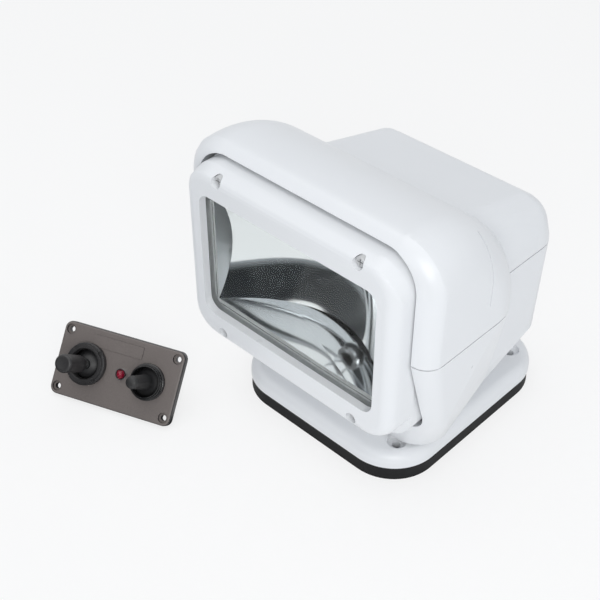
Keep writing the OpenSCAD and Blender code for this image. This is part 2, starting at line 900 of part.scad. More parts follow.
module trunnion_pins() {
    out = cavity_w / 2 + trunnion_bush_l - 0.5;
    in = housing_w / 2 - trunnion_in;
    color(steel) {
        tilt_rod(trunnion_r, in, out);
        tilt_rod(trunnion_r, -out, -in);
    }
}

// Lamp head

// Angular piece of a ring about the tilt axis, 0 degrees at the rear and 90 at the top
module tilt_ring(r0, r1, w, from, to) {
    translate([0, tilt_y, tilt_z]) rotate([90, 0, 90]) rotate(from)
        rotate_extrude(angle = to - from, $fn = 96) translate([r0, -w / 2]) square([r1 - r0, w]);
}

module bezel_screw_places() {
    for (x = [-1, 1], z = [bezel_screw_top, -bezel_screw_low])
        translate([x * bezel_screw_x, tilt_y, tilt_z + z]) rotate([90, 0, 0]) children();
}

module lamp_housing() {
    inner_r = housing_r - housing_wall;
    inner_w = housing_w - 2 * housing_wall;
    color(white_moulding) difference() {
        union() {
            difference() {
                intersection() {
                    tilt_drum(housing_r, housing_w, lamp_corner - 0.8);
                    behind(bezel_back);
                }
                difference() {
                    tilt_drum(inner_r, inner_w, lamp_corner - 3);
                    translate([-big / 2, tilt_y - bezel_back - 1, 0]) cube([big, front_wall + 1, big]);
                    difference() {
                        tilt_rod(housing_r, -rib_w / 2, rib_w / 2);
                        tilt_rod(sector_bore - sector_rib, -rib_w, rib_w);
                    }
                    tilt_rod(trunnion_r + trunnion_post, housing_w / 2 - trunnion_in, inner_w);
                    tilt_rod(trunnion_r + trunnion_post, -inner_w, -housing_w / 2 + trunnion_in);
                    bezel_screw_places() translate([0, 0, bezel_back - bezel_post_l])
                        cylinder(r = bezel_post_r, h = bezel_post_l);
                }
            }
            face_slab(bezel_back - front_wall, spigot_front, window_z)
                rounded_rect(lens_w, lens_h, lens_corner);
        }
        face_slab(bezel_back - front_wall - 1, spigot_front + 1, window_z)
            rounded_rect(lens_w - 2 * spigot_wall, lens_h - 2 * spigot_wall, lens_corner - spigot_wall);
        tilt_ring(sector_bore, housing_r + 2, groove_w, -tilt_down - groove_margin, tilt_up + groove_margin);
        tilt_rod(trunnion_r, housing_w / 2 - trunnion_in, housing_w);
        tilt_rod(trunnion_r, -housing_w, -housing_w / 2 + trunnion_in);
        bezel_screw_places() translate([0, 0, bezel_back - bezel_bite - 1])
            cylinder(r = bezel_screw_r, h = bezel_bite + 2);
    }
}

module tilt_sector() {
    first = floor((-tilt_down - sector_margin) * tilt_teeth / 360);
    last = round((tilt_up + sector_margin) * tilt_teeth / 360);
    color(nylon) translate([-sector_face / 2, tilt_y, tilt_z]) rotate([90, 0, 90])
        linear_extrude(sector_face) difference() {
            polygon(concat([[0, 0]], gear_points(tilt_teeth, first, last)));
            circle(sector_bore);
        }
}

// Front frame of the lamp head
module bezel() {
    color(white_moulding) difference() {
        intersection() {
            tilt_drum(lamp_r, lamp_w, lamp_corner);
            hull() {
                bezel_section(bezel_back, face_reach - face_round, 0);
                for (a = [15:15:90])
                    bezel_section(face_reach - face_round * (1 - sin(a)) - leaf,
                        face_reach - face_round * (1 - sin(a)), face_round * (1 - cos(a)));
            }
        }
        face_slab(bezel_back - 1, lens_front, window_z)
            rounded_rect(lens_w + 2 * seat, lens_h + 2 * seat, lens_corner + seat);
        face_slab(lens_front - 1, face_reach + 1, window_z) rounded_rect(window_w, window_h, window_corner);
        bezel_screw_places() {
            cylinder(r = bezel_screw_r + seat, h = big);
            translate([0, 0, face_reach - head_set]) cylinder(r = bezel_head_r + seat, h = big);
        }
    }
}
module bezel_section(from, to, inset) {
    h = (face_top + face_low) / 2;
    face_slab(from, to, tilt_z + face_top - h)
        for (x = [-1, 1], z = [-1, 1])
            translate([x * (lamp_w / 2 - lamp_corner), z * (h - lamp_corner)])
                circle(lamp_corner - inset, $fn = 40);
}

module bezel_screws() {
    color(steel) bezel_screw_places() {
        translate([0, 0, face_reach - head_set]) cylinder(r = bezel_head_r, h = bezel_head_t);
        translate([0, 0, bezel_back - bezel_bite])
            cylinder(r = bezel_screw_r, h = face_reach - head_set - bezel_back + bezel_bite);
    }
}

module lens() {
    color([0.85, 0.93, 0.95, 0.4]) face_slab(lens_back, lens_front, window_z)
        rounded_rect(lens_w, lens_h, lens_corner);
}

module lens_seal() {
    color(black_rubber) face_slab(rim_front, lens_back, window_z) difference() {
        rounded_rect(lens_w, lens_h, lens_corner);
        rounded_rect(window_w, window_h, window_corner);
    }
}

// Solid inside the reflector's parabola and its four flat walls, grown outwards by a wall
module bowl_solid(wall) {
    steps = 14;
    past_mouth = 6;
    outline = [for (i = [0:steps]) let (r = bowl_mouth_r * i / steps)
        [i == 0 ? 0 : r + wall, bowl_vertex + r * r / (4 * focus) - wall]];
    intersection() {
        on_lens_axis() polygon(concat(outline,
            [[bowl_mouth_r + wall, spigot_front + past_mouth], [0, spigot_front + past_mouth]]));
        translate([-bowl_w / 2 - wall, tilt_y - big / 2, window_z - bowl_h / 2 - wall])
            cube([bowl_w + 2 * wall, big, bowl_h + 2 * wall]);
    }
}

// Bowl with four flat walls, a rim to clamp and a neck for the bulb
module reflector() {
    color([0.88, 0.89, 0.9]) difference() {
        union() {
            intersection() {
                bowl_solid(bowl_wall);
                behind(spigot_front);
            }
            face_slab(spigot_front, rim_front, window_z) rounded_rect(lens_w, lens_h, lens_corner);
            on_lens_axis() translate([0, bowl_vertex - neck_l]) square([neck_r + neck_wall, neck_l + 2]);
        }
        bowl_solid(0);
        on_lens_axis() translate([0, bowl_vertex - neck_l - 1]) square([neck_r, neck_l + 6]);
    }
}

module bulb_base() {
    color(steel) on_lens_axis() {
        translate([0, bowl_vertex - neck_l]) square([neck_r, neck_l + bulb_stem]);
        translate([0, bowl_vertex - neck_l - bulb_flange_t]) square([neck_r + neck_wall, bulb_flange_t]);
    }
}

module bulb_glass() {
    r = bulb_d / 2;
    back = bowl_vertex + bulb_stem;
    front = bowl_vertex + focus + bulb_past_focus;
    color([0.95, 0.97, 1, 0.5]) on_lens_axis() {
        translate([0, back]) square([r, front - back - r]);
        intersection() {
            translate([0, front - r]) circle(r);
            translate([0, front - r - leaf]) square(r + leaf);
        }
    }
}

module bulb_socket() {
    color([0.9, 0.87, 0.8]) on_lens_axis()
        translate([0, bowl_vertex - neck_l - bulb_flange_t - socket_l]) square([socket_r, socket_l]);
}

// Spring wire ring that holds the bulb's flange on the neck
module bulb_clip() {
    color(steel) on_lens_axis()
        translate([socket_r + clip_r, bowl_vertex - neck_l - bulb_flange_t - clip_r]) circle(clip_r, $fn = 24);
}

// Control panel

// Panel frame: X along the plate, Z up the plate, -Y out of its front
module on_panel(x = 0, z = 0) {
    translate([panel_place[0], panel_place[1], panel_t * sin(panel_lean)])
        rotate([0, 0, panel_turn]) rotate([-panel_lean, 0, 0]) translate([x, 0, z]) children();
}

// Cylinder or outline carried from one depth behind the plate's front to another
module panel_rod(r, from, to) {
    translate([0, from, 0]) rotate([-90, 0, 0]) cylinder(r = r, h = to - from);
}
module panel_cone(r0, r1, from, to) {
    translate([0, from, 0]) rotate([-90, 0, 0]) cylinder(r1 = r0, r2 = r1, h = to - from);
}
module panel_slab(from, to) {
    translate([0, to, 0]) rotate([90, 0, 0]) linear_extrude(to - from) children();
}

// Dome about a pivot behind the plate, open at the back
module pivot_dome(r, pivot) {
    translate([0, pivot, 0]) rotate([90, 0, 0]) difference() {
        intersection() {
            sphere(r);
            translate([0, 0, r * cos(boot_edge)]) cylinder(r = r, h = r);
        }
        sphere(r - boot_wall);
    }
}

module panel_plate() {
    bevel = 1.5;
    color(dark_plate) on_panel() difference() {
        translate([0, 0, panel_mid]) hull() {
            panel_slab(bevel, panel_t) rounded_rect(panel_w, panel_h, panel_corner, $fn = 32);
            panel_slab(0, leaf)
                rounded_rect(panel_w - 2 * bevel, panel_h - 2 * bevel, panel_corner - bevel, $fn = 32);
        }
        for (x = [-1, 1], z = [-1, 1])
            translate([x * panel_bolt_x / 2, 0, panel_mid + z * panel_bolt_y / 2]) {
                panel_rod(panel_hole_d / 2, -1, panel_t + 1);
                panel_rod(panel_hole_d / 2 + 1.4, -1, 1.6);
            }
        translate([-joystick_x, 0, panel_mid]) panel_rod(joystick_bore_r, -1, panel_t + 1);
        translate([toggle_x, 0, panel_mid]) panel_rod(toggle_bore_r, -1, panel_t + 1);
        translate([led_x, 0, panel_mid]) panel_rod(led_r, -1, panel_t + 1);
    }
}

// Cup behind the plate: its lower rim props the panel on the floor
module joystick_body() {
    color(black_rubber) on_panel(-joystick_x, panel_mid) difference() {
        panel_rod(joystick_body_r, panel_t, panel_t + joystick_body_l);
        panel_rod(joystick_bore_r, panel_t - 1, panel_t + joystick_body_l - 2);
        translate([-big / 2, joystick_pivot, 0]) rotate([0, 90, 0]) cylinder(r = pin_r + running, h = big);
    }
}

module joystick_collar() {
    color(black_rubber) on_panel(-joystick_x, panel_mid) difference() {
        union() {
            panel_rod(collar_r, -collar_t + 1.5, 0);
            panel_rod(collar_r - 1.5, -collar_t, 0);
        }
        panel_rod(collar_hole_r, -collar_t - 1, 1);
        for (a = [45:90:315])
            rotate([0, a, 0]) translate([collar_r - 2, -collar_t - 1, -1.2]) cube([4, 4, 2.4]);
    }
}

// Ring with two pins across the panel: it lets the stick rock up and down
module joystick_gimbal() {
    color(nylon) on_panel(-joystick_x, panel_mid) difference() {
        union() {
            panel_rod(ring_r, joystick_pivot - ring_t / 2, joystick_pivot + ring_t / 2);
            translate([-joystick_body_r + 0.4, joystick_pivot, 0]) rotate([0, 90, 0])
                cylinder(r = pin_r, h = 2 * joystick_body_r - 0.8);
        }
        panel_rod(ring_bore_r, 0, 2 * joystick_pivot);
        translate([0, joystick_pivot, -big / 2]) cylinder(r = pin_r + running, h = big);
    }
}

// Stick with a pin up the panel: it rocks from side to side in the gimbal
module joystick_shaft() {
    color(steel) on_panel(-joystick_x, panel_mid) {
        panel_rod(stick_r, -joystick_l + 4, joystick_pivot + 3);
        translate([0, joystick_pivot, -ring_r + 0.4]) cylinder(r = pin_r, h = 2 * ring_r - 0.8);
    }
}

module joystick_boot() {
    color(black_rubber) on_panel(-joystick_x, panel_mid) difference() {
        pivot_dome(boot_r, joystick_pivot);
        panel_rod(stick_r, -big, joystick_pivot);
    }
}

module joystick_knob() {
    base = joystick_pivot - boot_r - knob_lift;
    color(black_rubber) on_panel(-joystick_x, panel_mid) difference() {
        union() {
            panel_cone(knob_d / 2 - 1, knob_d / 2, -joystick_l, -joystick_l + 1.5);
            panel_cone(knob_d / 2, knob_d / 2 - 0.5, -joystick_l + 1.5, base - 4);
            panel_cone(knob_d / 2 - 0.5, stick_r + 1.2, base - 4, base);
        }
        panel_rod(stick_r, -joystick_l + 4, 0);
    }
}

module toggle_ring() {
    color(black_rubber) on_panel(toggle_x, panel_mid) difference() {
        union() {
            panel_rod(toggle_ring_r, -2.5, 0);
            panel_rod(toggle_ring_r - 0.8, -4.5, 0);
            panel_rod(toggle_ring_r - 1.6, -toggle_ring_t, 0);
        }
        panel_rod(toggle_hole_r, -toggle_ring_t - 1, 1);
    }
}

module toggle_body() {
    color(black_rubber) on_panel(toggle_x, panel_mid) difference() {
        translate([-toggle_box[0] / 2, panel_t, -toggle_box[1] / 2])
            cube([toggle_box[0], toggle_box[2], toggle_box[1]]);
        translate([-5, panel_t - 1, -8]) cube([10, 9, 16]);
        translate([-toggle_box[0], toggle_pivot, 0]) rotate([0, 90, 0])
            cylinder(r = pin_r + running, h = 2 * toggle_box[0]);
    }
}

module toggle_lever() {
    color(steel) on_panel(toggle_x, panel_mid) {
        panel_rod(stick_r, -toggle_l + 4, toggle_pivot + 3);
        translate([-toggle_box[0] / 2 + 0.4, toggle_pivot, 0]) rotate([0, 90, 0])
            cylinder(r = pin_r, h = toggle_box[0] - 0.8);
    }
}

// Rubber boot moulded over the lever
module toggle_boot() {
    color(black_rubber) on_panel(toggle_x, panel_mid) difference() {
        union() {
            pivot_dome(toggle_boot_r, toggle_pivot);
            panel_cone(3.8, toggle_neck_r, -toggle_l + 1, toggle_pivot - toggle_boot_r + 0.5);
            panel_cone(2.8, 3.8, -toggle_l, -toggle_l + 1);
        }
        panel_rod(stick_r, -toggle_l + 4, toggle_pivot);
    }
}

module led_bezel() {
    color(steel) on_panel(led_x, panel_mid) difference() {
        union() {
            panel_cone(led_r + 0.6, led_r + 1.2, -2, 0);
            panel_rod(led_r, 0, panel_t + 4);
        }
        panel_rod(led_r - 0.6, -3, panel_t + 5);
    }
}

module led_lens() {
    color([0.6, 0.05, 0.1]) on_panel(led_x, panel_mid) {
        panel_rod(led_r - 0.6, -2, panel_t + 3);
        translate([0, -2, 0]) sphere(led_r - 0.6);
    }
}

base_gasket();
base_plate();
pan_spindle();
pan_ring_gear();
pan_lock_nut();
panel_plate();
joystick_body();
joystick_collar();
toggle_body();
toggle_ring();
led_bezel();
led_lens();
lower_shell();
upper_shell();
shell_seal();
shell_screws();
turret_seal();
pan_bush();
pan_bracket();
pan_gearbox();
pan_motor();
tilt_bracket();
tilt_gearbox();
tilt_motor();
circuit_board();
board_screws();
trunnion_bushes();
pan_shaft();
pan_pinion();
tilt_shaft();
tilt_pinion();
lamp_housing();
trunnion_pins();
tilt_sector();
bezel();
bezel_screws();
lens();
lens_seal();
reflector();
bulb_glass();
bulb_base();
bulb_socket();
bulb_clip();
joystick_gimbal();
joystick_shaft();
joystick_boot();
joystick_knob();
toggle_lever();
toggle_boot();
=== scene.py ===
"""Looks of a motorised deck searchlight and its dash control panel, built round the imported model."""

import json
import math

import bpy
from mathutils import Matrix, Vector


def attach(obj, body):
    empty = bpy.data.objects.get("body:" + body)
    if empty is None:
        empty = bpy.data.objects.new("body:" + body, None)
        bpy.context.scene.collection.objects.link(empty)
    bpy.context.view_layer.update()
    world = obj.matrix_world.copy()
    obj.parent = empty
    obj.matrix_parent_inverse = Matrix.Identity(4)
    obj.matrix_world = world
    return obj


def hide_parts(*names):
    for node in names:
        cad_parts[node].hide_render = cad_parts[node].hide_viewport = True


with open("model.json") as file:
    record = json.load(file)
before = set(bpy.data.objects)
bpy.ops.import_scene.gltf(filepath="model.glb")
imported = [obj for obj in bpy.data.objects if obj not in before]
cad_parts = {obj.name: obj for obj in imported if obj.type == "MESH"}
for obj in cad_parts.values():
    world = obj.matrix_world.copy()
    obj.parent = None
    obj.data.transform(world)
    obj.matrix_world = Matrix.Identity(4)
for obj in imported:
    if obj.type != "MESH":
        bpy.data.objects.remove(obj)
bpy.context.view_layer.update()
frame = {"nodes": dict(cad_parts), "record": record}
MM = 0.001

# Sizes of the searchlight, in millimetres
BASE_W, BASE_D, BASE_CORNER = 144, 155, 32
GASKET_T, PLATE_TOP, PLATE_ROUND = 10, 20, 7
BOLT_X, BOLT_Y, BOLT_HOLE, BOLT_RECESS = 54, 58, 2.75, 6
SPINDLE_R, CABLE_WAY_R = 14, 8
TILT_Y, TILT_Z = -70, 118
FACE_Y = TILT_Y - 30
WINDOW_Z, WINDOW_W, WINDOW_H, WINDOW_CORNER = 123, 133.5, 85, 8
LENS_FRONT, LENS_BACK, LENS_LAP = FACE_Y + 5, FACE_Y + 9, 4
RIM_BACK = FACE_Y + 12
BOWL_FOCUS, BOWL_W, BOWL_H, BOWL_WALL, BOWL_RIM, BULB_HOLE_R = 29.5, 130.5, 79, 1.0, 3, 8.1
HOOD_R, HOOD_CORNER, HOOD_HALF_W = 74, 29, 93
GROOVE_Y, GROOVE_W, GROOVE_DEPTH, GROOVE_Z = -36.5, 0.7, 0.5, (136, 179)
BEZEL_SCREW_X, BEZEL_SCREW_Z = 52.25, (TILT_Z + 60, TILT_Z - 49)

# Sizes of the control panel
PANEL_W, PANEL_H, PANEL_T, PANEL_CORNER = 88, 49, 5, 5
PANEL_LEAN, PANEL_TURN, PANEL_PLACE = 41, 21.5, (-108.5, -154)
PANEL_BOLT_X, PANEL_BOLT_Z, PANEL_BOLT_R, PANEL_RECESS_R = 39, 19.25, 1.9, 3.3
PANEL_ROUND, NAME_PLATE_LOW, NAME_PLATE_HIGH = 1.5, (-21, 12.6, -0.4), (15, 20.4, 0.45)
CUP_HOLE_R, SWITCH_HOLE_R, LED_HOLE_R = 12.4, 11.4, 3
JOYSTICK_X, TOGGLE_X, LED_X = -21.7, 23, 4


class Value:
    """A socket in a finish: arithmetic on it adds Math nodes."""

    def __init__(self, nodes, socket):
        self.nodes = nodes
        self.socket = socket

    def math(self, operation, *values):
        return self.nodes.add("ShaderNodeMath", {"operation": operation}, dict(enumerate(values)))

    def __add__(self, other):
        return self.math("ADD", self, other)

    def __radd__(self, other):
        return self.math("ADD", other, self)

    def __sub__(self, other):
        return self.math("SUBTRACT", self, other)

    def __rsub__(self, other):
        return self.math("SUBTRACT", other, self)

    def __mul__(self, other):
        return self.math("MULTIPLY", self, other)

    def __rmul__(self, other):
        return self.math("MULTIPLY", other, self)

    def most(self, other):
        return self.math("MAXIMUM", self, other)


class Nodes:
    """A node tree and the one way that its nodes are added."""

    def __init__(self, tree):
        self.tree = tree

    def add(self, kind, settings=None, inputs=None, output=0):
        node = self.tree.nodes.new(kind)
        for key, value in (settings or {}).items():
            setattr(node, key, value)
        for key, value in (inputs or {}).items():
            self.feed(node.inputs[key], value)
        return Value(self, node.outputs[output])

    def feed(self, socket, value):
        if isinstance(value, Value):
            self.tree.links.new(value.socket, socket)
        else:
            socket.default_value = value

    def mix(self, factor, first, second):
        return self.add("ShaderNodeMix", {"data_type": "RGBA"}, {0: factor, 6: first, 7: second}, 2)

    def place(self):
        return self.add("ShaderNodeTexCoord", output="Object")

    def noise(self, scale, detail=2.0, rough=0.5):
        return self.add("ShaderNodeTexNoise", None,
                        {"Vector": self.place(), "Scale": scale, "Detail": detail, "Roughness": rough})


class Finish(Nodes):
    """A material with one principled shader."""

    def __init__(self, name, **constants):
        self.material = bpy.data.materials.new(name)
        self.material.use_nodes = True
        super().__init__(self.material.node_tree)
        self.shader = self.tree.nodes["Principled BSDF"]
        for key, value in constants.items():
            self.set(key.replace("_", " "), value)

    def set(self, socket, value):
        self.feed(self.shader.inputs[socket], value)

    def bump(self, height, depth_mm, strength=1.0):
        normal = self.add("ShaderNodeBump", None,
                          {"Height": height, "Distance": depth_mm * MM, "Strength": strength})
        self.set("Normal", normal)


def rgb(*parts):
    return (*parts, 1.0)


# Finishes


def moulding_white():
    finish = Finish("moulding_white")
    cloud = finish.noise(12, 3)
    finish.set("Base Color", finish.mix(cloud, rgb(0.80, 0.815, 0.835), rgb(0.84, 0.85, 0.862)))
    finish.set("Roughness", 0.24 + 0.14 * finish.noise(55, 3))
    finish.bump(finish.noise(900, 2), 0.05, 0.25)
    return finish.material


def plain_finish(name, dark, light, rough, grain, depth_mm, spread=0.12, **constants):
    """A finish with fine grain, a drifting tone and a roughness that varies."""
    finish = Finish(name, **constants)
    finish.set("Base Color", finish.mix(finish.noise(grain / 18, 3), rgb(*dark), rgb(*light)))
    finish.set("Roughness", rough + spread * finish.noise(grain / 6, 2))
    finish.bump(finish.noise(grain, 3), depth_mm, 0.6)
    return finish.material


def clear_glass(name, tint, rough):
    """Clear piece that mirrors less than real glass, so that the bowl behind it keeps its dark band."""
    finish = Finish(name, Transmission_Weight=1.0, IOR=1.12)
    finish.set("Base Color", rgb(*tint))
    finish.set("Roughness", rough * finish.noise(40, 2))
    return finish.material


def reflector_metal(name, rough):
    finish = Finish(name, Metallic=1.0)
    cloud = finish.noise(20, 2)
    finish.set("Base Color", finish.mix(cloud, rgb(0.80, 0.815, 0.83), rgb(0.86, 0.87, 0.88)))
    finish.set("Roughness", rough + 0.03 * finish.noise(80, 2))
    finish.bump(finish.noise(45, 1), 0.02, 0.3)
    return finish.material


def panel_face():
    finish = Finish("panel_face")
    speck = finish.noise(1400, 2)
    finish.set("Base Color", finish.mix(speck, rgb(0.125, 0.108, 0.100), rgb(0.185, 0.160, 0.150)))
    finish.set("Roughness", 0.42 + 0.15 * finish.noise(300, 2))
    finish.bump(speck, 0.06, 0.5)
    return finish.material


def indicator_red():
    finish = Finish("indicator_red", Transmission_Weight=0.35, IOR=1.49)
    speck = finish.noise(500, 2)
    finish.set("Base Color", finish.mix(speck, rgb(0.30, 0.008, 0.03), rgb(0.42, 0.015, 0.05)))
    finish.set("Roughness", 0.08 + 0.05 * finish.noise(700, 2))
    return finish.material


FINISH = {
    "white_moulding": moulding_white(),
    "gasket_rubber": plain_finish("gasket_rubber", (0.012, 0.012, 0.013), (0.018, 0.018, 0.019),
                                  0.6, 900, 0.08, Specular_IOR_Level=0.15),
    "black_rubber": plain_finish("black_rubber", (0.014, 0.014, 0.015), (0.026, 0.026, 0.027),
                                 0.42, 1100, 0.06),
    "black_plastic": plain_finish("black_plastic", (0.018, 0.017, 0.018), (0.034, 0.033, 0.034),
                                  0.36, 1300, 0.05),
    "gloss_black": plain_finish("gloss_black", (0.010, 0.010, 0.011), (0.018, 0.018, 0.019),
                                0.18, 800, 0.02),
    # Pale grey for the reflector's flat rim: a painted reflection, standing in for the bright band that the
    # chrome rim step mirrors
    "rim_painted_reflection": plain_finish("rim_painted_reflection", (0.72, 0.73, 0.74), (0.78, 0.79, 0.80), 0.4, 700, 0.02),
    "seal_grey": plain_finish("seal_grey", (0.50, 0.51, 0.52), (0.58, 0.59, 0.60), 0.5, 900, 0.04),
    "panel_face": panel_face(),
    "steel": plain_finish("steel", (0.46, 0.465, 0.47), (0.60, 0.605, 0.61), 0.24, 700, 0.02, Metallic=1.0),
    "dull_screw": plain_finish("dull_screw", (0.52, 0.525, 0.53), (0.62, 0.625, 0.63), 0.45, 900, 0.02,
                               Metallic=0.2),
    "chrome": plain_finish("chrome", (0.74, 0.75, 0.77), (0.82, 0.83, 0.84), 0.05, 500, 0.01, 0.05,
                           Metallic=1.0),
    "reflector_metal": reflector_metal("reflector_metal", 0.05),
    "reflector_satin": reflector_metal("reflector_satin", 0.38),
    "brass": plain_finish("brass", (0.60, 0.42, 0.15), (0.72, 0.53, 0.22), 0.25, 600, 0.02, Metallic=1.0),
    "nylon": plain_finish("nylon", (0.68, 0.66, 0.58), (0.76, 0.74, 0.67), 0.45, 500, 0.04),
    "lens_glass": clear_glass("lens_glass", (0.97, 0.99, 0.985), 0.02),
    "bulb_glass": clear_glass("bulb_glass", (0.99, 0.99, 1.0), 0.01),
    "ceramic": plain_finish("ceramic", (0.72, 0.68, 0.60), (0.80, 0.77, 0.70), 0.6, 700, 0.05),
    "board_green": plain_finish("board_green", (0.012, 0.10, 0.035), (0.025, 0.16, 0.06), 0.3, 1500, 0.02),
    "indicator_red": indicator_red(),
}


# Modelling helpers


def fresh():
    """Nothing selected, in object mode."""
    if bpy.context.object and bpy.context.object.mode != "OBJECT":
        bpy.ops.object.mode_set(mode="OBJECT")
    bpy.ops.object.select_all(action="DESELECT")


def only(obj):
    fresh()
    obj.select_set(True)
    bpy.context.view_layer.objects.active = obj


def apply_place(obj):
    only(obj)
    bpy.ops.object.transform_apply(location=True, rotation=True, scale=True)


def choose(obj, kind, test):
    """Edit mode with what passes a test selected; the test's places are in millimetres."""
    only(obj)
    bpy.ops.object.mode_set(mode="EDIT")
    bpy.ops.mesh.select_mode(type=kind)
    bpy.ops.mesh.select_all(action="DESELECT")
    bpy.ops.object.mode_set(mode="OBJECT")
    mesh = obj.data
    points = [v.co / MM for v in mesh.vertices]
    if kind == "FACE":
        for face in mesh.polygons:
            face.select = test(face.center / MM, face.normal)
    elif kind == "EDGE":
        for edge in mesh.edges:
            edge.select = test(points[edge.vertices[0]], points[edge.vertices[1]])
    else:
        for vertex in mesh.vertices:
            vertex.select = test(points[vertex.index])
    bpy.ops.object.mode_set(mode="EDIT")


def modify(obj, kind, **settings):
    """One modifier, applied."""
    only(obj)
    modifier = obj.modifiers.new(kind.lower(), kind)
    for key, value in settings.items():
        setattr(modifier, key, value)
    bpy.ops.object.modifier_apply(modifier=modifier.name)


def ease(obj, width_mm, segments=3, angle=35):
    """Small round on every edge that is sharper than the angle."""
    modify(obj, "BEVEL", width=width_mm * MM, segments=segments, limit_method="ANGLE",
           angle_limit=math.radians(angle), use_clamp_overlap=True, harden_normals=False)


def smooth(obj, angle=35):
    """Round forms shade smoothly, and wide flat faces stay flat."""
    only(obj)
    bpy.ops.object.shade_smooth_by_angle(angle=math.radians(angle))
    modify(obj, "WEIGHTED_NORMAL", mode="FACE_AREA", weight=50, keep_sharp=True)


def slab(name, low, high, corner=0, axis=2, segments=10):
    """Block between two corners, with the four edges along one axis rounded."""
    fresh()
    low, high = Vector(low), Vector(high)
    bpy.ops.mesh.primitive_cube_add(size=1, location=(low + high) / 2 * MM)
    obj = bpy.context.object
    obj.name = name
    obj.scale = (high - low) * MM
    apply_place(obj)
    if corner:
        others = [i for i in range(3) if i != axis]
        choose(obj, "EDGE", lambda a, b: all(abs(a[i] - b[i]) < 0.01 for i in others))
        bpy.ops.mesh.bevel(offset=corner * MM, segments=segments, affect="EDGES")
    fresh()
    return obj


def rod(name, radius, start, end, sides=40):
    """Cylinder from one point to another."""
    fresh()
    start, end = Vector(start), Vector(end)
    along = end - start
    bpy.ops.mesh.primitive_cylinder_add(vertices=sides, radius=radius * MM, depth=along.length * MM,
                                        location=(start + end) / 2 * MM)
    obj = bpy.context.object
    obj.name = name
    obj.rotation_mode = "QUATERNION"
    obj.rotation_quaternion = along.to_track_quat("Z", "Y")
    apply_place(obj)
    return obj


def turned(name, rings, sides=48, closed=True):
    """Piece drawn up from a circle; each ring is a radius and a height, and radius 0 ends it in a point."""
    fresh()
    radius, height = rings[0]
    start = max(radius, 1)
    bpy.ops.mesh.primitive_circle_add(vertices=sides, radius=start * MM, location=(0, 0, height * MM))
    obj = bpy.context.object
    obj.name = name
    apply_place(obj)
    bpy.ops.object.mode_set(mode="EDIT")
    bpy.ops.mesh.select_mode(type="EDGE")
    bpy.ops.mesh.select_all(action="SELECT")
    for next_radius, next_height in rings[1:]:
        bpy.ops.mesh.extrude_region_move(
            TRANSFORM_OT_translate={"value": (0, 0, (next_height - height) * MM)})
        if next_radius == 0:
            bpy.ops.mesh.merge(type="CENTER")
            break
        share = next_radius / radius
        bpy.ops.transform.resize(value=(share, share, 1), center_override=(0, 0, next_height * MM))
        radius, height = next_radius, next_height
    bpy.ops.mesh.select_all(action="SELECT")
    if closed:
        bpy.ops.mesh.remove_doubles(threshold=0.000001)
        bpy.ops.mesh.fill_holes(sides=0)
        bpy.ops.mesh.select_all(action="SELECT")
    bpy.ops.mesh.normals_make_consistent(inside=False)
    fresh()
    return obj


def cut(obj, *tools):
    """Takes each tool's shape out of a piece."""
    for tool in tools:
        modify(obj, "BOOLEAN", operation="DIFFERENCE", solver="EXACT", object=tool)
        bpy.data.objects.remove(tool)


def copy_at(obj, name, shift):
    """Copy with its own mesh, shifted in its mesh."""
    only(obj)
    bpy.ops.object.duplicate(linked=False)
    made = bpy.context.object
    made.name = name
    made.location = Vector(shift) * MM
    apply_place(made)
    return made


def join(name, pieces):
    fresh()
    for piece in pieces:
        piece.select_set(True)
    bpy.context.view_layer.objects.active = pieces[0]
    bpy.ops.object.join()
    pieces[0].name = name
    return pieces[0]


def cleaned_copy(node, name):
    """Copy of a construction piece with its triangles joined into clean faces."""
    source = frame["nodes"][node]
    mesh = source.data.copy()
    obj = bpy.data.objects.new(name, mesh)
    bpy.context.scene.collection.objects.link(obj)
    mesh.materials.clear()
    only(obj)
    bpy.ops.mesh.customdata_custom_splitnormals_clear()
    bpy.ops.object.mode_set(mode="EDIT")
    bpy.ops.mesh.select_all(action="SELECT")
    bpy.ops.mesh.remove_doubles(threshold=0.000002)
    bpy.ops.mesh.dissolve_limited(angle_limit=math.radians(0.4))
    fresh()
    return obj


def dress(obj, body, slot, *nodes, finish=None):
    """Gives a piece its finish and its body, and hides the construction pieces that it stands for."""
    obj.data.materials.clear()
    obj.data.materials.append(FINISH[finish or slot])
    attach(obj, body)
    if nodes:
        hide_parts(*nodes)
    return obj


def second_finish(obj, finish, test):
    """Another finish on the faces of a dressed piece that pass a test."""
    obj.data.materials.append(FINISH[finish])
    choose(obj, "FACE", test)
    obj.active_material_index = len(obj.data.materials) - 1
    bpy.ops.object.material_slot_assign()
    fresh()


# Base


def base_gasket():
    half_w, half_d = BASE_W / 2, BASE_D / 2
    gasket = slab("base_gasket_rubber", (-half_w, -half_d, 0), (half_w, half_d, GASKET_T),
                  BASE_CORNER, 2, 16)
    choose(gasket, "FACE", lambda c, n: abs(n.z) < 0.5)
    bpy.ops.mesh.inset(thickness=1.2 * MM, depth=-0.5 * MM)
    ease(gasket, 0.8, 2)
    places = [(x * BOLT_X, y * BOLT_Y) for x in (-1, 1) for y in (-1, 1)]
    cut(gasket, rod("way", CABLE_WAY_R, (0, 0, -1), (0, 0, GASKET_T + 1)),
        *[rod("hole", BOLT_HOLE, (x, y, -1), (x, y, GASKET_T + 1)) for x, y in places])
    smooth(gasket)
    dress(gasket, "base", "gasket_rubber", "base_gasket")


